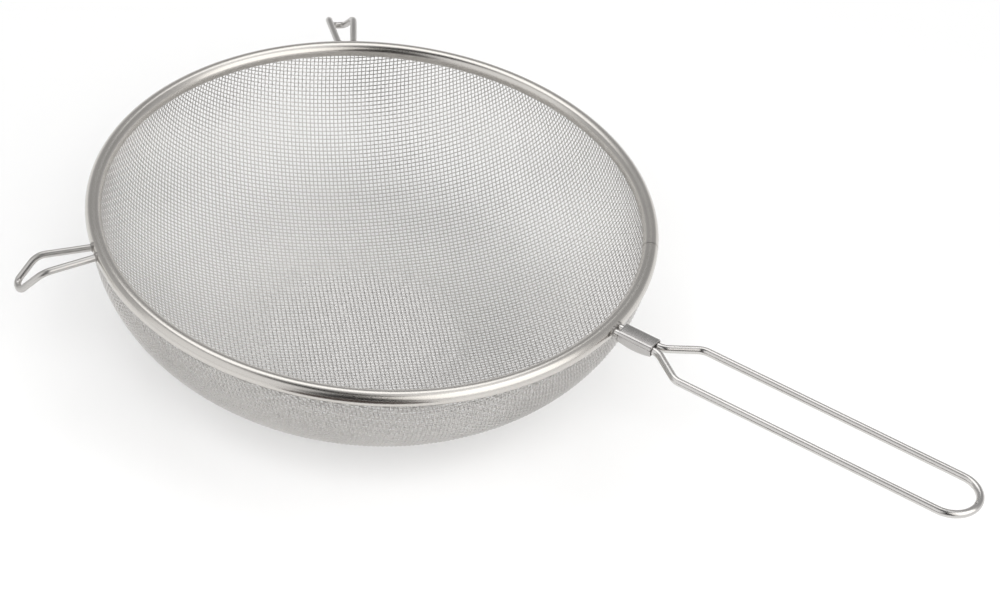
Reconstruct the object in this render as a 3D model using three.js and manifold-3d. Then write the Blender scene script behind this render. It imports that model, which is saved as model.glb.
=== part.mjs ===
// A round wire-mesh sieve: a woven bowl whose edge is folded over a ring wire and held in a
// rolled sheet rim, a long hairpin wire handle with a sheet ferrule, and two wire ears that rest
// on the edge of a pot.
// Millimetres. The origin is the middle of the bowl's flat base, +Z is up and +X runs along the handle.

import * as THREE from 'three';
import { mergeVertices } from 'three/addons/utils/BufferGeometryUtils.js';
import Module from 'manifold-3d';

const wasm = await Module();
wasm.setup();

// Gap left between neighbouring pieces.
const CLEARANCE = 0.3;

// Rim: sheet rolled into a tube, open by a slot below where the mesh enters.
const RIM_RADIUS = 130;
const RIM_HEIGHT = 72;
const ROLL_RADIUS = 3.65;
const RIM_SHEET = 0.5;
const SEAM_ANGLE = 27.5;
const SEAM_GAP = 0.3;
// Room that the hem leaves inside the roll for the ends of the handle and ear wires.
const HEM_ROOM = 1.1;

// Bowl: the mesh is as thick as two crossing wires. Its weave is drawn as a coarse net of flat bars,
// as open as the real one and turned the same way, and the edge that enters the rim is left whole.
const MESH_THICKNESS = 1;
const BASE_RADIUS = 30;
const HEM_TURN = 235;
const EDGE_DEPTH = 5;
const NET_OPENINGS = 12;
const NET_OPEN_SHARE = 0.74;
const NET_THICKNESS = 0.6;
const NET_TURN = 42.6;

// Handle: one wire bent into a hairpin.
const HANDLE_WIRE = 3.6;
const HANDLE_REACH = 176.8;
const HANDLE_SPAN = 25.2;
const HANDLE_SPLAY = 14.4;
const HANDLE_BEND = 8;

// Ferrule: a sheet sleeve, flat on top and slit along its underside, that binds the two handle wires.
// The corner is measured at the middle of the sheet.
const FERRULE_GAP = 2.5;
const FERRULE_LENGTH = 17;
const FERRULE_SHEET = 0.6;
const FERRULE_CORNER = 1.6;
const FERRULE_SLIT = 0.5;
const FERRULE_BELLY = 1.4;

// Ears: hairpins that flare outwards, then narrow and turn down at the tip. They are welded on by
// hand, not quite evenly to either side of the handle.
const EAR_WIRE = 3.2;
const EAR_LEFT_ANGLE = 131;
const EAR_RIGHT_ANGLE = 127;
const EAR_ROOT = 7;
const EAR_SPREAD = 12.4;
const EAR_ARM = 24;
const EAR_DROP = 2.2;
const EAR_TIP = 14.4;
const EAR_TIP_ANGLE = 48;
const EAR_TIP_SPAN = 6.4;
const EAR_BEND = 9;

// Height of the wire seats above the middle of the roll, which keeps them clear of its slot.
const SEAT_LIFT = 0.3;

// Facets: round the ring, round a wire, along a right-angled bend, and along each section's curves.
const RING_SEGMENTS = 60;
const WIRE_SIDES = 10;
const CORE_SIDES = 8;
const BEND_STEPS = 5;
const ROLL_STEPS = 14;
const EDGE_STEPS = 2;
const HEM_STEPS = 7;
const NET_STEPS = 2;
const FERRULE_STEPS = 6;
const FERRULE_CORNER_STEPS = 2;

// The roll, the hem inside it and the ring wire inside the hem share one section.
const rollCentre = RIM_RADIUS - ROLL_RADIUS;
const rollInside = ROLL_RADIUS - RIM_SHEET;
const hemOutside = rollInside - CLEARANCE - HEM_ROOM / 2;
const hemMiddle = hemOutside - MESH_THICKNESS / 2;
const coreRadius = hemOutside - MESH_THICKNESS - CLEARANCE;
const hemCentre = rollCentre - HEM_ROOM / 2;
const wallRadius = hemCentre + hemMiddle;
const wireEnd = hemCentre + hemOutside + CLEARANCE;
const seatHeight = RIM_HEIGHT + SEAT_LIFT;
const wirePitch = HANDLE_WIRE + CLEARANCE;
const ferruleStart = RIM_RADIUS + FERRULE_GAP;
const ferruleEnd = ferruleStart + FERRULE_LENGTH;

const radians = THREE.MathUtils.degToRad;

// A wire through corner points, each rounded to its own bend radius, stepped at the bends only.
class BentWire extends THREE.Curve {

  constructor(corners) {
    super();
    this.stations = [];
    corners.forEach((corner, i) => {
      if (i === 0 || i === corners.length - 1) {
        this.stations.push(corner.at);
        return;
      }
      this.stations.push(...roundedCorner(corners[i - 1].at, corner.at, corners[i + 1].at, corner.bend));
    });
  }

  get steps() {
    return this.stations.length - 1;
  }

  getUtoTmapping(u) {
    return u;
  }

  getPoint(t, target = new THREE.Vector3()) {
    const place = THREE.MathUtils.clamp(t, 0, 1) * this.steps;
    const i = Math.min(Math.floor(place), this.steps - 1);
    return target.lerpVectors(this.stations[i], this.stations[i + 1], place - i);
  }

}

function roundedCorner(before, corner, after, bend) {
  const back = before.clone().sub(corner).normalize();
  const ahead = after.clone().sub(corner).normalize();
  const half = back.angleTo(ahead) / 2;
  const start = corner.clone().addScaledVector(back, bend / Math.tan(half));
  const centre = corner.clone().addScaledVector(back.clone().add(ahead).normalize(), bend / Math.sin(half));
  const axis = back.clone().cross(ahead).normalize();
  const arm = start.sub(centre);
  const turn = Math.PI - 2 * half;
  const count = Math.max(2, Math.round(BEND_STEPS * turn / (Math.PI / 2)) + 1);
  return Array.from({ length: count + 1 }, (_, i) =>
    arm.clone().applyAxisAngle(axis, -turn * i / count).add(centre));
}

function wireAlong(path, diameter, steps) {
  const section = new THREE.Shape();
  section.absarc(0, 0, diameter / 2, 0, 2 * Math.PI, false);
  return new THREE.ExtrudeGeometry(section, {
    steps,
    curveSegments: WIRE_SIDES / 2,
    extrudePath: path,
  });
}

function bentWire(corners, diameter) {
  const path = new BentWire(corners);
  return wireAlong(path, diameter, path.steps);
}

// The hole that a wire's straight end needs, a clearance wider than the wire.
function wireSeat(corners, diameter) {
  const path = new THREE.LineCurve3(corners[0].at, corners[1].at);
  return wireAlong(path, diameter + 2 * CLEARANCE, 1);
}

function solid(geometry) {
  const bare = geometry.clone();
  bare.deleteAttribute('normal');
  bare.deleteAttribute('uv');
  const welded = mergeVertices(bare, 1e-4);
  return new wasm.Manifold(new wasm.Mesh({
    numProp: 3,
    vertProperties: new Float32Array(welded.attributes.position.array),
    triVerts: new Uint32Array(welded.index.array),
  }));
}

function geometryOf(body) {
  const mesh = body.getMesh();
  const geometry = new THREE.BufferGeometry();
  geometry.setAttribute('position', new THREE.BufferAttribute(mesh.vertProperties, 3));
  geometry.setIndex(new THREE.BufferAttribute(mesh.triVerts, 1));
  geometry.computeVertexNormals();
  return geometry;
}

// Turns a closed (radius, height) section about the vertical axis.
function revolve(section) {
  return new THREE.LatheGeometry(section, RING_SEGMENTS).rotateX(Math.PI / 2);
}

// Offsets a line of section points to both sides, which gives a sheet of even thickness.
function thicken(line, thickness) {
  const sides = line.map((point, i) => {
    const before = line[Math.max(i - 1, 0)];
    const after = line[Math.min(i + 1, line.length - 1)];
    const run = after.clone().sub(before).normalize();
    return new THREE.Vector2(run.y, -run.x).multiplyScalar(thickness / 2);
  });
  const outside = line.map((point, i) => point.clone().add(sides[i]));
  const inside = line.map((point, i) => point.clone().sub(sides[i]));
  return [...outside, ...inside.reverse()];
}

// The middle of the mesh, in section: level, then a quarter ellipse up to the rim's slot.
function bowlSection(thickness) {
  const floor = thickness / 2;
  const upright = RIM_HEIGHT - ROLL_RADIUS;
  const section = new THREE.Path();
  section.moveTo(0, floor);
  section.lineTo(BASE_RADIUS, floor);
  section.absellipse(BASE_RADIUS, upright, wallRadius - BASE_RADIUS, upright - floor,
    -Math.PI / 2, 0, false, 0);
  return section;
}

// The whole edge of the mesh passes upright through the slot and turns over the ring wire.
function meshEdge() {
  const section = bowlSection(MESH_THICKNESS);
  const share = EDGE_DEPTH / section.getLength();
  const hem = new THREE.EllipseCurve(hemCentre, RIM_HEIGHT, hemMiddle, hemMiddle, 0, radians(HEM_TURN));
  const line = hem.getPoints(HEM_STEPS);
  for (let i = 0; i <= EDGE_STEPS; i += 1) {
    line.unshift(section.getPoint(1 - share * i / EDGE_STEPS));
  }
  const outline = thicken(line, MESH_THICKNESS);
  outline.push(outline[0].clone());
  return revolve(outline);
}

// A flat net of square openings, pressed into the bowl: each point keeps its distance from the
// middle, measured along the bowl. The bars end inside the whole edge.
function meshNet() {
  const section = bowlSection(NET_THICKNESS);
  const length = section.getLength();
  const reach = length - EDGE_DEPTH / 2;
  const pitch = 2 * length / NET_OPENINGS;
  const opening = pitch * NET_OPEN_SHARE;
  const stations = [];
  for (let cell = 0; cell < NET_OPENINGS; cell += 1) {
    const start = (cell - (NET_OPENINGS - 1) / 2) * pitch - opening / 2;
    for (let i = 0; i <= NET_STEPS; i += 1) {
      stations.push(start + opening * i / NET_STEPS);
    }
  }

  function onBowl(i, j, side) {
    const run = Math.min(Math.hypot(stations[i], stations[j]), reach) / length;
    const turn = Math.atan2(stations[j], stations[i]) + radians(NET_TURN);
    const place = section.getPoint(run);
    const way = section.getTangent(run);
    const radius = place.x - side * way.y * NET_THICKNESS / 2;
    const height = place.y + side * way.x * NET_THICKNESS / 2;
    return new THREE.Vector3(radius * Math.cos(turn), radius * Math.sin(turn), height);
  }

  const isBar = (i) => i % (NET_STEPS + 1) === NET_STEPS;
  const nearest = (i) => Math.min(Math.abs(stations[i]), Math.abs(stations[i + 1]));
  const isSolid = (i, j) => (isBar(i) || isBar(j)) && Math.hypot(nearest(i), nearest(j)) < reach - CLEARANCE;

  const corners = [];
  const addFace = (a, b, c, d) => corners.push(a, b, c, a, c, d);
  for (let i = 0; i < stations.length - 1; i += 1) {
    for (let j = 0; j < stations.length - 1; j += 1) {
      if (!isSolid(i, j)) {
        continue;
      }
      const around = [[i, j], [i + 1, j], [i + 1, j + 1], [i, j + 1]];
      const beside = [[i, j - 1], [i + 1, j], [i, j + 1], [i - 1, j]];
      const inner = around.map(([a, b]) => onBowl(a, b, 1));
      const outer = around.map(([a, b]) => onBowl(a, b, -1));
      addFace(...inner);
      addFace(...outer.toReversed());
      beside.forEach(([a, b], k) => {
        const next = (k + 1) % 4;
        if (!isSolid(a, b)) {
          addFace(outer[k], outer[next], inner[next], inner[k]);
        }
      });
    }
  }
  return new THREE.BufferGeometry().setFromPoints(corners);
}

function meshBowl() {
  return geometryOf(solid(meshNet()).add(solid(meshEdge())));
}

// The rolled tube, from its outer edge over the top and round to the slot's inner edge.
function rolledRim(seats) {
  const slotOutside = wallRadius + MESH_THICKNESS / 2 + CLEARANCE - rollCentre;
  const slotInside = wallRadius - MESH_THICKNESS / 2 - CLEARANCE - rollCentre;
  const start = -Math.acos(slotOutside / rollInside);
  const end = 2 * Math.PI - Math.acos(slotInside / ROLL_RADIUS);
  const outside = new THREE.EllipseCurve(rollCentre, RIM_HEIGHT, ROLL_RADIUS, ROLL_RADIUS, start, end);
  const inside = new THREE.EllipseCurve(rollCentre, RIM_HEIGHT, rollInside, rollInside, start, end);
  const section = [...outside.getPoints(ROLL_STEPS), ...inside.getPoints(ROLL_STEPS).reverse()];
  section.push(section[0].clone());
  const seam = new THREE.BoxGeometry(4 * ROLL_RADIUS, SEAM_GAP, 4 * ROLL_RADIUS)
    .translate(rollCentre, 0, RIM_HEIGHT)
    .rotateZ(radians(SEAM_ANGLE));
  let body = solid(revolve(section)).subtract(solid(seam));
  for (const seat of seats) {
    body = body.subtract(solid(seat));
  }
  return geometryOf(body);
}

// Corner points of one half of the handle, from its end in the rim to the loop.
function handleHalf(side) {
  const close = side * wirePitch / 2;
  const wide = side * HANDLE_SPAN / 2;
  const splay = ferruleEnd + HANDLE_BEND * Math.tan(Math.atan2(HANDLE_SPAN / 2, HANDLE_SPLAY) / 2);
  return [
    { at: new THREE.Vector3(wireEnd, close, seatHeight) },
    { at: new THREE.Vector3(splay, close, seatHeight), bend: HANDLE_BEND },
    { at: new THREE.Vector3(splay + HANDLE_SPLAY, wide, seatHeight), bend: HANDLE_BEND },
    { at: new THREE.Vector3(RIM_RADIUS + HANDLE_REACH, wide, seatHeight), bend: HANDLE_SPAN / 2 },
  ];
}

// The sleeve's section is drawn across the handle and swept along it. Its underside bellies out.
function ferruleSleeve() {
  const high = HANDLE_WIRE / 2 + CLEARANCE + FERRULE_SHEET / 2;
  const wide = high + wirePitch / 2;
  const corner = Math.min(FERRULE_CORNER, high);
  const slit = FERRULE_SLIT / 2;
  const line = new THREE.Path();
  line.moveTo(slit, -high);
  line.lineTo(wide - corner, -high);
  line.absarc(wide - corner, corner - high, corner, -Math.PI / 2, 0, false);
  line.absarc(wide - corner, high - corner, corner, 0, Math.PI / 2, false);
  line.absarc(corner - wide, high - corner, corner, Math.PI / 2, Math.PI, false);
  line.absarc(corner - wide, corner - high, corner, Math.PI, 3 * Math.PI / 2, false);
  line.lineTo(-slit, -high);
  const section = new THREE.Shape(thicken(line.getPoints(FERRULE_CORNER_STEPS), FERRULE_SHEET));
  const sleeve = new THREE.ExtrudeGeometry(section, {
    depth: FERRULE_LENGTH,
    steps: FERRULE_STEPS,
    bevelEnabled: false,
  });
  const place = sleeve.attributes.position;
  for (let i = 0; i < place.count; i += 1) {
    const along = 2 * place.getZ(i) / FERRULE_LENGTH - 1;
    const below = Math.max(0, -place.getY(i) / high);
    place.setY(i, place.getY(i) - FERRULE_BELLY * below * (1 - along * along));
  }
  const turn = new THREE.Matrix4().makeBasis(
    new THREE.Vector3(0, 1, 0), new THREE.Vector3(0, 0, 1), new THREE.Vector3(1, 0, 0));
  return sleeve.applyMatrix4(turn).translate(ferruleStart, 0, seatHeight);
}

// Corner points of one half of an ear that points along +X.
function earHalf(side) {
  const bendReach = RIM_RADIUS + EAR_ARM;
  const bendHeight = seatHeight - EAR_DROP;
  const slope = radians(EAR_TIP_ANGLE);
  const tipReach = bendReach + EAR_TIP * Math.cos(slope);
  const tipHeight = bendHeight - EAR_TIP * Math.sin(slope);
  return [
    { at: new THREE.Vector3(wireEnd + CLEARANCE, side * EAR_ROOT / 2, seatHeight) },
    { at: new THREE.Vector3(bendReach, side * EAR_SPREAD / 2, bendHeight), bend: EAR_BEND },
    { at: new THREE.Vector3(tipReach, side * EAR_TIP_SPAN / 2, tipHeight), bend: EAR_TIP_SPAN / 2 },
  ];
}

const handleSides = [handleHalf(-1), handleHalf(1)];
const earSides = [earHalf(-1), earHalf(1)];
const earTurns = { ear_left: radians(EAR_LEFT_ANGLE), ear_right: -radians(EAR_RIGHT_ANGLE) };

const seats = handleSides.map((half) => wireSeat(half, HANDLE_WIRE));
for (const turn of Object.values(earTurns)) {
  seats.push(...earSides.map((half) => wireSeat(half, EAR_WIRE).rotateZ(turn)));
}

const rimSteel = new THREE.MeshStandardMaterial({ color: 0xc9c5be, roughness: 0.22, metalness: 1 });
const meshSteel = new THREE.MeshStandardMaterial({ color: 0xb7b3ac, roughness: 0.38, metalness: 1 });
const wireSteel = new THREE.MeshStandardMaterial({ color: 0xc4bfb7, roughness: 0.26, metalness: 1 });
const ferruleSteel = new THREE.MeshStandardMaterial({ color: 0xa9a5a0, roughness: 0.3, metalness: 1 });

const sieve = new THREE.Group();

function addPiece(name, geometry, material, turn = 0) {
  const piece = new THREE.Mesh(geometry, material);
  piece.name = name;
  const holder = new THREE.Group();
  holder.rotation.z = turn;
  holder.add(piece);
  sieve.add(holder);
}

addPiece('rim_band', rolledRim(seats), rimSteel);
addPiece('rim_core', new THREE.TorusGeometry(hemCentre, coreRadius, CORE_SIDES, RING_SEGMENTS)
  .translate(0, 0, RIM_HEIGHT), wireSteel);
addPiece('mesh_bowl', meshBowl(), meshSteel);
addPiece('handle_wire', bentWire([...handleSides[0], ...handleSides[1].toReversed()], HANDLE_WIRE), wireSteel);
addPiece('handle_ferrule', ferruleSleeve(), ferruleSteel);
for (const [name, turn] of Object.entries(earTurns)) {
  addPiece(name, bentWire([...earSides[0], ...earSides[1].toReversed()], EAR_WIRE), wireSteel, turn);
}

export default sieve;
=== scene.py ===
"""A round wire-mesh sieve on a pale studio floor, in metres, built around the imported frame."""

import math

import bmesh
import bpy
import numpy as np
from mathutils import Matrix, Vector


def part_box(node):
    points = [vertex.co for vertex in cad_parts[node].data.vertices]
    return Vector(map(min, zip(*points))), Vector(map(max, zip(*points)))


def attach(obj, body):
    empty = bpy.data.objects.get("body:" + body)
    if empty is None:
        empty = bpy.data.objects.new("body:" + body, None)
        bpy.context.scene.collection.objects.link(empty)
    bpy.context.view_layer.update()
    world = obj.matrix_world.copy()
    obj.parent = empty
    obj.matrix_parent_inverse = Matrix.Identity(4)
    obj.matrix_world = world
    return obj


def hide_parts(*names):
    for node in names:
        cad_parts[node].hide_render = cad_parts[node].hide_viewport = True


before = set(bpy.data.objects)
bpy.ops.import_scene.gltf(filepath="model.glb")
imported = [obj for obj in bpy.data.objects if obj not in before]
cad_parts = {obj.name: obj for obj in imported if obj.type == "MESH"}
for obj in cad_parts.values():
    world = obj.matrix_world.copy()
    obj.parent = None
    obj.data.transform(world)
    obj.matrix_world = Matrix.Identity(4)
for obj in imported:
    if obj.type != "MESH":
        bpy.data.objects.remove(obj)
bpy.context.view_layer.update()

MM = 0.001
CLEARANCE = 0.3 * MM

# Rim: sheet rolled into a tube, open by a slot below where the mesh enters.
ROLL_RADIUS = 3.65 * MM
RIM_SHEET = 0.5 * MM
SEAM_ANGLE = math.radians(27.5)
SEAM_GAP = 0.3 * MM
RIM_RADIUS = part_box("rim_band")[1].y
RIM_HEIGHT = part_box("rim_band")[1].z - ROLL_RADIUS
ROLL_CENTRE = RIM_RADIUS - ROLL_RADIUS
ROLL_INSIDE = ROLL_RADIUS - RIM_SHEET

# Bowl: plain weave, flat in the middle, then a quarter ellipse up to the slot in the rim.
MESH_WIRE = 0.5 * MM
MESH_PITCH = 1.95 * MM
MESH_TURN = math.radians(42.6)
BASE_RADIUS = 30 * MM
HEM_ROOM = 1.1 * MM
HEM_OUTSIDE = ROLL_INSIDE - CLEARANCE - HEM_ROOM / 2
HEM_RADIUS = HEM_OUTSIDE - MESH_WIRE
HEM_CENTRE = ROLL_CENTRE - HEM_ROOM / 2
HEM_TURN = math.radians(235)
HEM_OVERLAP = 0.5 * MM
WALL_RADIUS = HEM_CENTRE + HEM_RADIUS
WALL_TOP = RIM_HEIGHT - ROLL_RADIUS

# Handle: one wire bent into a hairpin, bound by a ferrule beside the rim.
HANDLE_WIRE = 3.6 * MM
HANDLE_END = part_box("handle_wire")[1].x
HANDLE_SPAN = 25.2 * MM
HANDLE_SPLAY = 14.4 * MM
HANDLE_BEND = 8 * MM
LOOP_EASE = 0.001 * MM
WIRE_PITCH = HANDLE_WIRE + CLEARANCE
WIRE_LIFT = 0.3 * MM
WIRE_HEIGHT = RIM_HEIGHT + WIRE_LIFT
WIRE_START = HEM_CENTRE + HEM_OUTSIDE + CLEARANCE
FERRULE_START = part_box("handle_ferrule")[0].x
FERRULE_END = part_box("handle_ferrule")[1].x
FERRULE_SHEET = 0.6 * MM
FERRULE_CORNER = 1.9 * MM
FERRULE_SLIT = 0.5 * MM
FERRULE_BELLY = 1.4 * MM
FERRULE_EDGE = FERRULE_SHEET / 3

# Ears: hairpins that flare outwards, then narrow and turn down at the tip.
EAR_WIRE = 3.2 * MM
EAR_TURNS = {"ear_left": math.radians(131), "ear_right": math.radians(-127)}
EAR_ROOT = 7 * MM
EAR_SPREAD = 12.4 * MM
EAR_ARM = 24 * MM
EAR_DROP = 2.2 * MM
EAR_TIP = 14.4 * MM
EAR_SLOPE = math.radians(48)
EAR_TIP_SPAN = 6.4 * MM
EAR_BEND = 9 * MM

# Welds: a fillet of metal where each wire enters the rim.
WELD_RISE = 0.75 * MM
WELD_DEPTH = 1.3 * MM
WELD_BITE = 0.05 * MM
WELD_SWEEP = math.radians(80)

# Steps along the curves of the fine meshes.
RING_STEPS = 360
ROLL_STEPS = 40
LIP_STEPS = 6
HEM_STEPS = 16
HEM_RING_STEPS = 180
BEND_STEP = math.radians(5)
CORNER_STEPS = 8
EDGE_STEPS = 3
FERRULE_STEPS = 24
WELD_STEPS = 24
SEAT_SIDES = 32
WIRE_ROUNDNESS = 8
MESH_ROUNDNESS = 1
MERGE = 0.01 * MM
SHARP = math.radians(50)

# Net: the bowl's section as a table, and the search for each crossing of the weave.
SECTION_STEPS = 2000
SECTION_SPARE = 1.0
SLOPE_RUN = 0.01 * MM
SLOPE_TURN = 1e-5
NET_TRIES = 12
NET_FIRST_STEP = 0.3 * MESH_PITCH
NET_RUN_LIMIT = 0.5 * MESH_PITCH
NET_TURN_LIMIT = 0.1

# Camera: the photograph's viewing angle, aimed from the middle of the rim.
VIEW_TURN = math.radians(28.62)
VIEW_TILT = math.radians(39.78)
VIEW_ROLL = math.radians(7.03)
VIEW_OFFSET = Vector((57.16, -38.95, 1361.12)) * MM
LENS_MM = 108
SENSOR_MM = 36

# Floor: painted near the sieve, where it keeps the shadow, and fading to plain white further off.
FLOOR_HALF = 30
FLOOR_CELLS = 4
FLOOR_DROP = 0.2 * MM
FLOOR_PAINT = (0.97, 0.97, 0.97, 1)
FLOOR_NEAR = 0.18
FLOOR_FAR = 0.5
FLOOR_WHITE = 0.04

# Dark card: lies on the floor below the camera and narrows towards the sieve.
CARD_HALF_WIDTH = 0.78
CARD_HALF_LENGTH = 1.1
CARD_NARROWING = 0.1
CARD_PLACE = (0, -1.3, 2 * MM)
CARD_TURN = math.radians(3)
CARD_PAINT = (0.05, 0.035, 0.03, 1)

# Walls: an even light with darker and brighter patches, whose directions are right, away and up.
WALL_LIGHT = 0.55
GAP_WAY = (0.1, -1, 0)
GAP_EDGE = math.radians(26)
GAP_CORE = math.radians(17)
GAP_TOP = (0.99, 0.95)
SHADE_WAY = (0, 1, 0)
SHADE_EDGE = (0.2, 0.7)
SHADE_TOP = (0.82, 0.7)
SHADE_FOOT = (0.2, 0.4)
SHADE_DEPTH = 0.25
BRIGHT_WAY = (0.4, -0.05, 0.92)
BRIGHT_EDGE = math.radians(24)
BRIGHT_CORE = math.radians(14)
DARK_WAY = (-0.13, -0.33, 0.92)
DARK_EDGE = math.radians(20)
DARK_CORE = math.radians(8)
HORIZON_TOP = (0.14, 0.07)

# Shader nodes: the sockets of a Mix node that take and give colours, and the depth of fine marks.
MIX_FIRST = 6
MIX_SECOND = 7
MIX_RESULT = 2
MARK_DEPTH = 0.05 * MM
WHITE = (1, 1, 1, 1)

ORIGIN = Vector((0, 0, 0))
AXIS = Vector((0, 0, 1))
ALONG = Vector((1, 0, 0))
ROLLING = Vector((0, -1, 0))


class Socket:
    """A socket of a shader tree. Arithmetic on it adds Math nodes."""

    def __init__(self, output):
        self.output = output

    def node(self, kind, settings, inputs, output=0):
        """Adds a node to the same tree and gives one of its outputs."""
        tree = self.output.id_data
        made = tree.nodes.new(kind)
        for name, value in settings.items():
            setattr(made, name, value)
        for name, value in inputs.items():
            if isinstance(value, Socket):
                tree.links.new(value.output, made.inputs[name])
            else:
                made.inputs[name].default_value = value
        return Socket(made.outputs[output])

    def math(self, operation, *values, clamp=False):
        settings = {"operation": operation, "use_clamp": clamp}
        return self.node("ShaderNodeMath", settings, dict(enumerate(values)))

    def __add__(self, other):
        return self.math("ADD", self, other)

    def __radd__(self, other):
        return self.math("ADD", other, self)

    def __sub__(self, other):
        return self.math("SUBTRACT", self, other)

    def __rsub__(self, other):
        return self.math("SUBTRACT", other, self)

    def __mul__(self, other):
        return self.math("MULTIPLY", self, other)

    def __rmul__(self, other):
        return self.math("MULTIPLY", other, self)

    def vector_math(self, operation, *values, output=0):
        settings = {"operation": operation}
        return self.node("ShaderNodeVectorMath", settings, dict(enumerate(values)), output)

    def part(self, axis):
        """One number of a vector."""
        return self.node("ShaderNodeSeparateXYZ", {}, {"Vector": self}, axis)

    def unit(self):
        """The same vector at a length of 1."""
        return self.vector_math("NORMALIZE", self)

    def towards(self, way):
        """How closely a vector points a given way: 1 along it, 0 square to it."""
        return self.vector_math("DOT_PRODUCT", self.unit(), way.normalized(), output="Value")

    def stretched(self, scale):
        """Coordinates with each axis scaled by itself."""
        return self.node("ShaderNodeMapping", {}, {"Vector": self, "Scale": scale})

    def noise(self, scale, detail=2.0):
        inputs = {"Vector": self, "Scale": scale, "Detail": detail}
        return self.node("ShaderNodeTexNoise", {}, inputs)

    def between(self, low, high, to_low=0.0, to_high=1.0):
        """Maps low to high onto to_low to to_high smoothly, and stops there."""
        settings = {"interpolation_type": "SMOOTHSTEP"}
        inputs = {"Value": self, "From Min": low, "From Max": high, "To Min": to_low, "To Max": to_high}
        return self.node("ShaderNodeMapRange", settings, inputs)

    def mix(self, first, second):
        """Blends two colours by this value."""
        inputs = {"Factor": self, MIX_FIRST: first, MIX_SECOND: second}
        return self.node("ShaderNodeMix", {"data_type": "RGBA"}, inputs, MIX_RESULT)


def joined(x, y, z):
    """Puts three values together as a vector."""
    return x.node("ShaderNodeCombineXYZ", {}, {0: x, 1: y, 2: z})


def seen_rays(tree):
    """The values that tell camera, glossy and transmission rays from all others."""
    path = tree.nodes.new("ShaderNodeLightPath")
    names = ("Is Camera Ray", "Is Glossy Ray", "Is Transmission Ray")
    return [Socket(path.outputs[name]) for name in names]


def bare_steel(name):
    """A plain steel material, its shader, and the object's own coordinates to build on."""
    material = bpy.data.materials.new(name)
    material.use_nodes = True
    nodes = material.node_tree.nodes
    shader = nodes["Principled BSDF"]
    shader.inputs["Metallic"].default_value = 1
    return material, shader, Socket(nodes.new("ShaderNodeTexCoord").outputs["Object"])


def finish_steel(shader, marks, patches, shades, roughness, relief):
    """Gives steel a shade that changes in patches, and the relief of its fine marks.

    The three roughness values are the least, what the marks add and what the patches add.
    """
    least, from_marks, from_patches = roughness
    dull, bright = shades
    bump = {"Height": marks, "Strength": relief, "Distance": MARK_DEPTH}
    finish = {
        "Base Color": patches.mix((*dull, 1), (*bright, 1)),
        "Roughness": least + from_marks * marks + from_patches * patches,
        "Normal": marks.node("ShaderNodeBump", {}, bump),
    }
    for name, value in finish.items():
        shader.id_data.links.new(value.output, shader.inputs[name])


def rim_steel():
    """Bright rolled sheet with fine marks that run round the ring."""
    material, shader, place = bare_steel("rim_steel")
    x, y, z = (place.part(axis) for axis in range(3))
    squares = x * x + y * y
    radius = squares.math("SQRT", squares)
    around = joined(x, y, 0.0).unit()
    section = radius.math("ARCTAN2", radius - ROLL_CENTRE, z - RIM_HEIGHT)
    drawn = joined(around.part(0), around.part(1), section).stretched((3, 3, 40))
    finish_steel(
        shader,
        marks=drawn.noise(scale=1.0, detail=3.0),
        patches=place.noise(scale=35.0),
        shades=((0.57, 0.548, 0.52), (0.64, 0.617, 0.585)),
        roughness=(0.17, 0.08, 0.06),
        relief=0.12,
    )
    return material


def wire_steel():
    """Drawn wire with faint lengthwise lines and small dull patches."""
    material, shader, place = bare_steel("wire_steel")
    finish_steel(
        shader,
        marks=place.stretched((40, 2600, 2600)).noise(scale=1.0),
        patches=place.noise(scale=90.0),
        shades=((0.57, 0.555, 0.54), (0.65, 0.635, 0.62)),
        roughness=(0.12, 0.10, 0.08),
        relief=0.1,
    )
    return material


def ear_steel():
    """Wire with a fine grain, duller than the handle's."""
    material, shader, place = bare_steel("ear_steel")
    finish_steel(
        shader,
        marks=place.noise(scale=1500.0),
        patches=place.noise(scale=120.0),
        shades=((0.50, 0.487, 0.47), (0.58, 0.567, 0.55)),
        roughness=(0.22, 0.12, 0.08),
        relief=0.1,
    )
    return material


def mesh_steel():
    """Fine woven wire, slightly duller where it has been drawn over the former."""
    material, shader, place = bare_steel("mesh_steel")
    finish_steel(
        shader,
        marks=place.noise(scale=2500.0),
        patches=place.noise(scale=30.0),
        shades=((0.64, 0.625, 0.61), (0.71, 0.695, 0.68)),
        roughness=(0.22, 0.10, 0.06),
        relief=0.1,
    )
    return material


def ferrule_steel():
    """Satin sheet, brushed across the handle."""
    material, shader, place = bare_steel("ferrule_steel")
    finish_steel(
        shader,
        marks=place.stretched((3000, 150, 150)).noise(scale=1.0),
        patches=place.noise(scale=200.0),
        shades=((0.47, 0.456, 0.446), (0.54, 0.526, 0.516)),
        roughness=(0.12, 0.12, 0.06),
        relief=0.15,
    )
    return material


def weld_steel():
    """Dull weld metal, darkened by heat tint and by painted shade: the dark ring of the hole where each
    wire enters the rim.
    """
    material, shader, place = bare_steel("weld_steel")
    grain = place.noise(scale=900.0, detail=3.0)
    finish_steel(
        shader,
        marks=grain,
        patches=grain,
        # The dull shade is partly heat tint and partly painted shade, the dark ring of the hole round the
        # wire.
        shades=((0.20, 0.19, 0.18), (0.48, 0.46, 0.44)),
        roughness=(0.28, 0.25, 0.0),
        relief=0.6,
    )
    return material


def add_object(name, data):
    """Puts a new object in the scene, at the origin."""
    made = bpy.data.objects.new(name, data)
    bpy.context.collection.objects.link(made)
    return made


def add_piece(name, data, material, slot, *nodes):
    """Makes an object that rides on the sieve and stands for the CAD nodes given."""
    piece = add_object(name, data)
    data.materials.clear()
    data.materials.append(material)
    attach(piece, "root")
    if nodes:
        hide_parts(*nodes)


def finished_mesh(name, bm):
    """Turns a bmesh into a mesh with its faces outwards, smooth but for its real edges."""
    bmesh.ops.recalc_face_normals(bm, faces=bm.faces)
    mesh = bpy.data.meshes.new(name)
    bm.to_mesh(mesh)
    bm.free()
    mesh.shade_smooth()
    mesh.set_sharp_from_angle(angle=SHARP)
    return mesh


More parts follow.
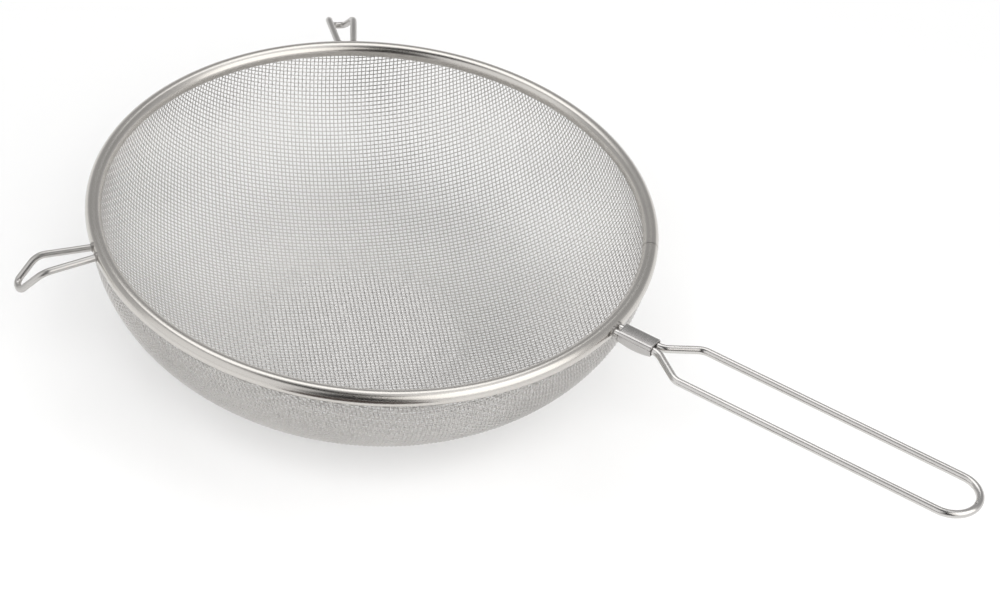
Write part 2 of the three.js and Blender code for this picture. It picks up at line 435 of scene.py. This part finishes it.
def swing(bm, vertex, centre, axis, angle, steps):
    """Carries one vertex along an arc, leaving edges, and gives the last vertex."""
    arc = bmesh.ops.spin(bm, geom=[vertex], cent=centre, axis=axis, angle=angle, steps=steps)
    return next(item for item in arc["geom_last"] if isinstance(item, bmesh.types.BMVert))


def run_to(bm, vertex, place):
    """Carries one vertex straight to a place, leaving an edge."""
    pulled = bmesh.ops.extrude_vert_indiv(bm, verts=[vertex])["verts"][0]
    pulled.co = place
    return pulled


def spin_section(bm, angle, steps, full):
    """Spins a whole section about the upright axis. A full turn joins its ends."""
    section = bm.verts[:] + bm.edges[:]
    bmesh.ops.spin(bm, geom=section, cent=ORIGIN, axis=AXIS, angle=angle, steps=steps, use_merge=full)


def point_along(bm, way, place):
    """Turns an upright shape to point a given way and moves it from the origin to a place."""
    turn = way.to_track_quat("Z", "Y").to_matrix()
    bmesh.ops.rotate(bm, verts=bm.verts, cent=ORIGIN, matrix=turn)
    bmesh.ops.translate(bm, verts=bm.verts, vec=place)


def seat_cutter(start, end, radius):
    """A round bar that cuts a wire's seat."""
    bm = bmesh.new()
    length = (end - start).length
    bmesh.ops.create_cone(bm, cap_ends=True, segments=SEAT_SIDES, radius1=radius, radius2=radius,
                          depth=length)
    point_along(bm, end - start, (start + end) / 2)
    return finished_mesh("seat", bm)


def drill(mesh, cutters):
    """Cuts the seats out of a mesh."""
    blank = add_object("blank", mesh)
    tools = [add_object("tool", cutter) for cutter in cutters]
    for tool in tools:
        cut = blank.modifiers.new("seat", "BOOLEAN")
        cut.object = tool
        cut.solver = "EXACT"
    depsgraph = bpy.context.evaluated_depsgraph_get()
    cut_mesh = bpy.data.meshes.new_from_object(blank.evaluated_get(depsgraph))
    for spent in (blank, *tools):
        bpy.data.objects.remove(spent)
    cut_mesh.set_sharp_from_angle(angle=SHARP)
    return cut_mesh


def rolled_rim(cutters):
    """The sheet's section is drawn from lip to lip and spun round the bowl, with a gap at the seam."""
    slot_outside = WALL_RADIUS + MESH_WIRE + CLEARANCE - ROLL_CENTRE
    slot_inside = WALL_RADIUS - MESH_WIRE - CLEARANCE - ROLL_CENTRE
    first = -math.acos(slot_outside / ROLL_INSIDE)
    last = 2 * math.pi - math.acos(slot_inside / ROLL_RADIUS)
    middle = Vector((ROLL_CENTRE, 0, RIM_HEIGHT))

    def on_roll(angle, radius):
        return middle + Vector((math.cos(angle), 0, math.sin(angle))) * radius

    sheet_middle = ROLL_RADIUS - RIM_SHEET / 2
    bm = bmesh.new()
    vertex = bm.verts.new(on_roll(first, ROLL_RADIUS))
    vertex = swing(bm, vertex, middle, ROLLING, last - first, ROLL_STEPS)
    vertex = swing(bm, vertex, on_roll(last, sheet_middle), ROLLING, math.pi, LIP_STEPS)
    vertex = swing(bm, vertex, middle, -ROLLING, last - first, ROLL_STEPS)
    swing(bm, vertex, on_roll(first, sheet_middle), ROLLING, math.pi, LIP_STEPS)
    bmesh.ops.remove_doubles(bm, verts=bm.verts, dist=MERGE)
    gap = SEAM_GAP / RIM_RADIUS
    start = Matrix.Rotation(SEAM_ANGLE + gap / 2, 3, "Z")
    bmesh.ops.rotate(bm, verts=bm.verts, cent=ORIGIN, matrix=start)
    spin_section(bm, 2 * math.pi - gap, RING_STEPS, full=False)
    seam_ends = [edge for edge in bm.edges if edge.is_boundary]
    bmesh.ops.holes_fill(bm, edges=seam_ends, sides=0)
    return drill(finished_mesh("rolled_rim", bm), cutters)


def mesh_hem():
    """The edge of the mesh inside the roll, turned over the ring wire."""
    middle = Vector((HEM_CENTRE, 0, RIM_HEIGHT))
    bm = bmesh.new()
    vertex = bm.verts.new(middle + ALONG * HEM_RADIUS)
    swing(bm, vertex, middle, ROLLING, HEM_TURN, HEM_STEPS)
    spin_section(bm, 2 * math.pi, HEM_RING_STEPS, full=True)
    bmesh.ops.recalc_face_normals(bm, faces=bm.faces)
    bmesh.ops.solidify(bm, geom=bm.faces[:], thickness=MESH_WIRE)
    return finished_mesh("mesh_hem", bm)


def rounded(corners):
    """The points of a path whose inner corners are rounded, each to its own bend radius."""
    path = [corners[0][0]]
    for (before, _), (corner, bend), (after, _) in zip(corners, corners[1:], corners[2:]):
        back = (before - corner).normalized()
        ahead = (after - corner).normalized()
        half = back.angle(ahead) / 2
        centre = corner + (back + ahead).normalized() * (bend / math.sin(half))
        arm = corner + back * (bend / math.tan(half)) - centre
        turn = math.pi - 2 * half
        steps = max(2, round(turn / BEND_STEP))
        axis = ahead.cross(back)
        path += [centre + Matrix.Rotation(turn * i / steps, 3, axis) @ arm for i in range(steps + 1)]
    path.append(corners[-1][0])
    return path


def wire_curve(name, paths, diameter, roundness):
    """Round wire along each path. A roundness of 1 gives six sides, and each further one two more."""
    curve = bpy.data.curves.new(name, "CURVE")
    curve.dimensions = "3D"
    curve.bevel_depth = diameter / 2
    curve.bevel_resolution = roundness
    curve.use_fill_caps = True
    for path in paths:
        line = curve.splines.new("POLY")
        line.points.add(len(path) - 1)
        for point, place in zip(line.points, path):
            point.co = (*place, 1)
    return curve


def mirrored(half):
    """A hairpin's corners from those of one of its two sides."""
    across = Matrix.Scale(-1, 3, (0, 1, 0))
    return half + [(across @ place, bend) for place, bend in reversed(half)]


def handle_corners():
    """The handle's corners and bends: side by side in the ferrule, then apart, then round the loop."""
    close = WIRE_PITCH / 2
    wide = HANDLE_SPAN / 2
    splay = FERRULE_END + HANDLE_BEND * math.tan(math.atan2(wide, HANDLE_SPLAY) / 2)
    reach = HANDLE_END - HANDLE_WIRE / 2
    return mirrored([
        (Vector((WIRE_START, -close, WIRE_HEIGHT)), 0),
        (Vector((splay, -close, WIRE_HEIGHT)), HANDLE_BEND),
        (Vector((splay + HANDLE_SPLAY, -wide, WIRE_HEIGHT)), HANDLE_BEND),
        (Vector((reach, -wide, WIRE_HEIGHT)), wide - LOOP_EASE),
    ])


def ear_corners(turn):
    """An ear's corners and bends: out from the rim, then down to the tip."""
    bend = Vector((RIM_RADIUS + EAR_ARM, -EAR_SPREAD / 2, WIRE_HEIGHT - EAR_DROP))
    tip = bend + Vector((math.cos(EAR_SLOPE), 0, -math.sin(EAR_SLOPE))) * EAR_TIP
    tip.y = -EAR_TIP_SPAN / 2
    around = Matrix.Rotation(turn, 3, "Z")
    half = [
        (Vector((WIRE_START + CLEARANCE, -EAR_ROOT / 2, WIRE_HEIGHT)), 0),
        (bend, EAR_BEND),
        (tip, EAR_TIP_SPAN / 2),
    ]
    return [(around @ place, radius) for place, radius in mirrored(half)]


def ferrule_sleeve():
    """A sheet sleeve, flat on top with rounded edges, that bellies out below and is slit there."""
    high = HANDLE_WIRE / 2 + CLEARANCE + FERRULE_SHEET
    wide = high + WIRE_PITCH / 2
    length = FERRULE_END - FERRULE_START

    def at(side, height):
        return Vector((FERRULE_START, side, WIRE_HEIGHT + height))

    bm = bmesh.new()
    vertex = bm.verts.new(at(FERRULE_SLIT / 2, -high))
    out = -AXIS
    for across, up in ((1, -1), (1, 1), (-1, 1), (-1, -1)):
        middle = at(across * (wide - FERRULE_CORNER), up * (high - FERRULE_CORNER))
        vertex = run_to(bm, vertex, middle + out * FERRULE_CORNER)
        vertex = swing(bm, vertex, middle, ALONG, math.pi / 2, CORNER_STEPS)
        out = Matrix.Rotation(math.pi / 2, 3, "X") @ out
    run_to(bm, vertex, at(-FERRULE_SLIT / 2, -high))
    section = bm.verts[:] + bm.edges[:]
    step = ALONG * length / FERRULE_STEPS
    bmesh.ops.spin(bm, geom=section, cent=ORIGIN, axis=ALONG, angle=0, dvec=step, steps=FERRULE_STEPS)
    for vert in bm.verts:
        share = 2 * (vert.co.x - FERRULE_START) / length - 1
        below = max(0, (WIRE_HEIGHT - vert.co.z) / high)
        vert.co.z -= FERRULE_BELLY * below * (1 - share * share)
    bmesh.ops.recalc_face_normals(bm, faces=bm.faces)
    bmesh.ops.solidify(bm, geom=bm.faces[:], thickness=FERRULE_SHEET)
    edges = [edge for edge in bm.edges if edge.calc_face_angle(0) > SHARP]
    bmesh.ops.bevel(bm, geom=edges, offset=FERRULE_EDGE, affect="EDGES", segments=EDGE_STEPS,
                    profile=0.5, material=-1)
    return finished_mesh("ferrule_sleeve", bm)


def weld_collar(root, direction, wire):
    """A small puddle of weld where a wire enters the rim."""
    thin = wire / 2 - WELD_BITE
    foot = wire / 2 + WELD_RISE
    bm = bmesh.new()
    vertex = bm.verts.new((thin, 0, WELD_RISE))
    vertex = swing(bm, vertex, (foot, 0, WELD_RISE), ROLLING, WELD_SWEEP, CORNER_STEPS)
    vertex = run_to(bm, vertex, (foot, 0, -WELD_DEPTH))
    vertex = run_to(bm, vertex, (thin, 0, -WELD_DEPTH))
    run_to(bm, vertex, (thin, 0, WELD_RISE))
    bmesh.ops.remove_doubles(bm, verts=bm.verts, dist=MERGE)
    spin_section(bm, 2 * math.pi, WELD_STEPS, full=True)
    point_along(bm, direction, root)
    return finished_mesh("weld", bm)


# Weave: it lies on the bowl like a net, in which every crossing is one pitch from its neighbours.


def bowl_line():
    """The bowl's section as tables of distance along the mesh, radius and height."""
    rise = np.linspace(0, math.pi / 2, SECTION_STEPS)
    floor = MESH_WIRE
    curve_radius = BASE_RADIUS + (WALL_RADIUS - BASE_RADIUS) * np.sin(rise)
    curve_height = WALL_TOP - (WALL_TOP - floor) * np.cos(rise)
    radius = np.concatenate([[0], curve_radius, [WALL_RADIUS]])
    height = np.concatenate([[floor], curve_height, [WALL_TOP + SECTION_SPARE]])
    run = np.concatenate([[0], np.cumsum(np.hypot(np.diff(radius), np.diff(height)))])
    return run, radius, height


BOWL_RUN, BOWL_RADIUS, BOWL_HEIGHT = bowl_line()
WEAVE_END = np.interp(RIM_HEIGHT + HEM_OVERLAP, BOWL_HEIGHT[1:], BOWL_RUN[1:])


def on_bowl(run, turn):
    """The place on the bowl at a distance from its middle and a turn about its axis."""
    radius = np.interp(run, BOWL_RUN, BOWL_RADIUS)
    height = np.interp(run, BOWL_RUN, BOWL_HEIGHT)
    return np.stack([radius * np.cos(turn), radius * np.sin(turn), height], -1)


def slopes(run, turn):
    """How the place moves as it runs out and as it turns."""
    out = (on_bowl(run + SLOPE_RUN, turn) - on_bowl(run - SLOPE_RUN, turn)) / (2 * SLOPE_RUN)
    around = (on_bowl(run, turn + SLOPE_TURN) - on_bowl(run, turn - SLOPE_TURN)) / (2 * SLOPE_TURN)
    return out, around


def one_pitch_from(left, below, run, turn):
    """Moves crossings over the bowl until each is one pitch from its two neighbours."""
    for _ in range(NET_TRIES):
        arms = [on_bowl(run, turn) - end for end in (left, below)]
        moves = slopes(run, turn)
        miss = np.stack([(arm ** 2).sum(-1) - MESH_PITCH ** 2 for arm in arms], -1)
        change = [np.stack([(arm * move).sum(-1) for move in moves], -1) for arm in arms]
        step = np.linalg.solve(2 * np.stack(change, -2), miss[..., None])[..., 0]
        run = run - np.clip(step[:, 0], -NET_RUN_LIMIT, NET_RUN_LIMIT)
        turn = turn - np.clip(step[:, 1], -NET_TURN_LIMIT, NET_TURN_LIMIT)
    return run, turn


def draped_quarter(count):
    """Distance and turn of each crossing in one quarter of the net, found along its diagonals."""
    run = np.zeros((count + 1, count + 1))
    turn = np.zeros((count + 1, count + 1))
    run[:, 0] = run[0, :] = np.arange(count + 1) * MESH_PITCH
    turn[0, 1:] = math.pi / 2
    for diagonal in range(2, 2 * count + 1):
        i = np.arange(max(1, diagonal - count), min(count, diagonal - 1) + 1)
        j = diagonal - i
        left = on_bowl(run[i - 1, j], turn[i - 1, j])
        below = on_bowl(run[i, j - 1], turn[i, j - 1])
        guess = left + below - on_bowl(run[i - 1, j - 1], turn[i - 1, j - 1])
        level_run = np.hypot(guess[:, 0], guess[:, 1])
        wall_run = np.maximum(run[i - 1, j], run[i, j - 1]) + NET_FIRST_STEP
        first_run = np.where(level_run < BASE_RADIUS, level_run, wall_run)
        first_turn = np.arctan2(guess[:, 1], guess[:, 0])
        run[i, j], turn[i, j] = one_pitch_from(left, below, first_run, first_turn)
    return run, turn


def inward_ways(run, turn):
    """The way square to the bowl, towards its inside, at each crossing."""
    out, around = slopes(run, np.where(run > 0, turn, 0))
    inward = np.cross(around, out)
    inward[0, 0] = AXIS
    upright = np.where(inward[..., 2:] < 0, -1, 1)
    return inward * upright / np.linalg.norm(inward, axis=-1, keepdims=True)


def woven_wires():
    """Paths of the two crossing sets of wires, each over and under the other set in turn."""
    count = int(WEAVE_END / MESH_PITCH) + 1
    run, turn = draped_quarter(count)
    place = on_bowl(run, turn)
    inward = inward_ways(run, turn)
    turned = Matrix.Rotation(MESH_TURN, 3, "Z")

    def crossing(i, j, lift):
        """The place of a crossing in any quarter, lifted off the net."""
        cell = (abs(i), abs(j))
        quarter = np.array([1 if i >= 0 else -1, 1 if j >= 0 else -1, 1])
        return turned @ Vector((place[cell] + inward[cell] * lift) * quarter)

    both_ways = range(-count, count + 1)
    warp, weft = [], []
    for i in both_ways:
        lifts = {j: MESH_WIRE / 2 * (-1) ** (i + j) for j in both_ways}
        warp_path = [crossing(i, j, lift) for j, lift in lifts.items() if run[abs(i), abs(j)] < WEAVE_END]
        weft_path = [crossing(j, i, -lift) for j, lift in lifts.items() if run[abs(j), abs(i)] < WEAVE_END]
        if len(warp_path) > 1:
            warp.append(warp_path)
            weft.append(weft_path)
    return warp, weft


def studio(x, y, z):
    """A direction or place seen from the camera: right, away and up."""
    return Matrix.Rotation(VIEW_TURN, 3, "Z") @ Vector((x, y, z))


def softbox(name, place, width, height, glow, tint=(1, 1, 1)):
    """A rectangular lamp aimed at the bowl, whose face has the given brightness and tint."""
    lamp = bpy.data.lights.new(name, "AREA")
    lamp.color = tint
    lamp.shape = "RECTANGLE"
    lamp.size = width
    lamp.size_y = height
    lamp.energy = glow * math.pi * width * height
    holder = add_object(name, lamp)
    holder.visible_camera = False
    holder.location = place
    holder.rotation_euler = (-place).to_track_quat("-Z", "Y").to_euler()
    return holder


def studio_lamps():
    """Lamps above and to both sides, and one that lights the floor and isn't mirrored in the steel."""
    softbox("top_lamp", studio(-0.2, 0.55, 1.4), width=1.3, height=0.8, glow=1.3)
    softbox("right_lamp", studio(0.98, -0.73, 0.86), width=1.7, height=1.4, glow=1.3, tint=(1, 0.985, 0.96))
    softbox("left_lamp", studio(-0.92, -0.82, 0.80), width=1.7, height=1.4, glow=0.5)
    floor_lamp = softbox("floor_lamp", studio(0, -1.3, 1.55), width=1.2, height=1.2, glow=3.0)
    floor_lamp.visible_glossy = False


def within(way, target, edge, core):
    """1 for a direction near the target, falling to 0 between two angles from it."""
    return way.towards(studio(*target)).between(math.cos(edge), math.cos(core))


def studio_world():
    """Even walls with a dark gap behind the camera, a dark and a bright patch above and a shaded far side.

    The camera sees them as plain white, and so does the steel near the horizon, but for the gap.
    """
    world = bpy.data.worlds.new("studio")
    world.use_nodes = True
    tree = world.node_tree
    background = tree.nodes["Background"]
    background.inputs["Color"].default_value = WHITE
    way = Socket(tree.nodes.new("ShaderNodeTexCoord").outputs["Generated"])
    height = way.part(2)
    level = joined(way.part(0), way.part(1), 0.0)

    gap = within(level, GAP_WAY, GAP_EDGE, GAP_CORE) * height.between(*GAP_TOP)
    far = level.towards(studio(*SHADE_WAY)).between(*SHADE_EDGE)
    shade = SHADE_DEPTH * far * height.between(*SHADE_TOP) * height.between(*SHADE_FOOT)
    bright = within(way, BRIGHT_WAY, BRIGHT_EDGE, BRIGHT_CORE)
    dark = within(way, DARK_WAY, DARK_EDGE, DARK_CORE)
    light = WALL_LIGHT * (1 - gap) * (1 - shade) * (1 + bright) * (1 - dark)

    camera, glossy, through = seen_rays(tree)
    shown = (glossy + through) * height.between(*HORIZON_TOP) * (1 - gap)
    white = camera.math("ADD", camera, shown, clamp=True)
    tree.links.new((light + white * (1 - light)).output, background.inputs["Strength"])
    bpy.context.scene.world = world


def pale_floor():
    """Pale paint that gives way to plain white with distance, for the camera and for reflections."""
    material = bpy.data.materials.new("pale_floor")
    material.use_nodes = True
    tree = material.node_tree
    tree.nodes.clear()
    camera, glossy, through = seen_rays(tree)
    seen = camera + glossy + through
    place = Socket(tree.nodes.new("ShaderNodeTexCoord").outputs["Object"])
    distance = place.vector_math("LENGTH", place, output="Value")
    share = distance.between(FLOOR_NEAR, FLOOR_FAR, FLOOR_WHITE, 1)
    white_share = seen.math("MULTIPLY", seen, share, clamp=True)
    paint = seen.node("ShaderNodeBsdfDiffuse", {}, {"Color": FLOOR_PAINT})
    white = seen.node("ShaderNodeEmission", {}, {"Color": WHITE, "Strength": 1.0})
    blend = seen.node("ShaderNodeMixShader", {}, {0: white_share, 1: paint, 2: white})
    output = tree.nodes.new("ShaderNodeOutputMaterial")
    tree.links.new(blend.output, output.inputs["Surface"])
    return material


def studio_floor():
    """A wide pale floor that keeps a soft shadow near the sieve and is plain white further off."""
    bm = bmesh.new()
    bmesh.ops.create_grid(bm, x_segments=FLOOR_CELLS, y_segments=FLOOR_CELLS, size=FLOOR_HALF)
    bmesh.ops.translate(bm, verts=bm.verts, vec=-AXIS * FLOOR_DROP)
    floor = add_object("floor", finished_mesh("floor", bm))
    floor.data.materials.append(pale_floor())


def dark_card():
    """A dark card on the floor below the camera, out of its sight, that the steel's near side shows."""
    bm = bmesh.new()
    bmesh.ops.create_grid(bm, x_segments=1, y_segments=1, size=1)
    bmesh.ops.scale(bm, verts=bm.verts, vec=(CARD_HALF_WIDTH, CARD_HALF_LENGTH, 1))
    near_sieve = [vert for vert in bm.verts if vert.co.y > 0]
    bmesh.ops.scale(bm, verts=near_sieve, vec=(CARD_NARROWING, 1, 1))
    bmesh.ops.translate(bm, verts=bm.verts, vec=CARD_PLACE)
    turn = Matrix.Rotation(VIEW_TURN + CARD_TURN, 3, "Z")
    bmesh.ops.rotate(bm, verts=bm.verts, cent=ORIGIN, matrix=turn)
    card = add_object("dark_card", finished_mesh("dark_card", bm))
    card.visible_camera = False
    card.visible_diffuse = False
    card.visible_shadow = False
    material = bpy.data.materials.new("dark_card")
    material.use_nodes = True
    material.node_tree.nodes["Principled BSDF"].inputs["Base Color"].default_value = CARD_PAINT
    card.data.materials.append(material)


def studio_camera():
    """A long lens at the photograph's angle, with the photograph's roll."""
    camera = bpy.data.cameras.new("camera")
    camera.lens = LENS_MM
    camera.sensor_width = SENSOR_MM
    holder = add_object("camera", camera)
    holder.matrix_world = (
        Matrix.Translation((0, 0, RIM_HEIGHT))
        @ Matrix.Rotation(VIEW_TURN, 4, "Z")
        @ Matrix.Rotation(math.pi / 2 - VIEW_TILT, 4, "X")
        @ Matrix.Rotation(VIEW_ROLL, 4, "Z")
        @ Matrix.Translation(VIEW_OFFSET)
    )
    bpy.context.scene.camera = holder


def rim_crossing(start, way):
    """Where a wire that starts inside the roll comes out of the rim."""
    outwards = Vector((start.x, start.y, 0)).normalized()
    reach = (RIM_RADIUS - math.hypot(start.x, start.y)) / way.dot(outwards)
    return start + way * reach


def build_hairpin(name, corners, diameter, steel, weld):
    """A bent wire with a weld at each end. Gives the cutters for its two seats in the rim."""
    curve = wire_curve(name, [rounded(corners)], diameter, WIRE_ROUNDNESS)
    add_piece(f"{name}_bent", curve, steel, "wire_steel", name)
    cutters = []
    for end, ((start, _), (after, _)) in enumerate((corners[:2], corners[:-3:-1]), 1):
        way = (after - start).normalized()
        collar = weld_collar(rim_crossing(start, way), way, diameter)
        add_piece(f"{name}_weld_{end}", collar, weld, "wire_steel")
        cutters.append(seat_cutter(start, after, diameter / 2 + CLEARANCE))
    return cutters


def build_weave(steel):
    """The woven wires, each set in two pieces."""
    for name, wires in zip(("warp", "weft"), woven_wires()):
        half = len(wires) // 2
        for part, some in enumerate((wires[:half], wires[half:]), 1):
            curve = wire_curve(f"{name}_{part}", some, MESH_WIRE, MESH_ROUNDNESS)
            add_piece(f"{name}_wires_{part}", curve, steel, "mesh_steel", "mesh_bowl")


def build_sieve():
    """All pieces of the sieve. The ring wire inside the rim is carried over from the CAD."""
    wire = wire_steel()
    ear = ear_steel()
    weld = weld_steel()
    mesh = mesh_steel()
    cutters = build_hairpin("handle_wire", handle_corners(), HANDLE_WIRE, wire, weld)
    for name, turn in EAR_TURNS.items():
        cutters += build_hairpin(name, ear_corners(turn), EAR_WIRE, ear, weld)
    add_piece("rolled_rim", rolled_rim(cutters), rim_steel(), "rim_steel", "rim_band")
    add_piece("ferrule_sleeve", ferrule_sleeve(), ferrule_steel(), "ferrule_steel", "handle_ferrule")
    add_piece("mesh_hem", mesh_hem(), mesh, "mesh_steel", "mesh_bowl")
    build_weave(mesh)
    ring_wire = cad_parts["rim_core"].data
    ring_wire.materials.clear()
    ring_wire.materials.append(wire)


build_sieve()
studio_floor()
dark_card()
studio_world()
studio_lamps()
studio_camera()
bpy.context.scene.view_settings.view_transform = "Standard"
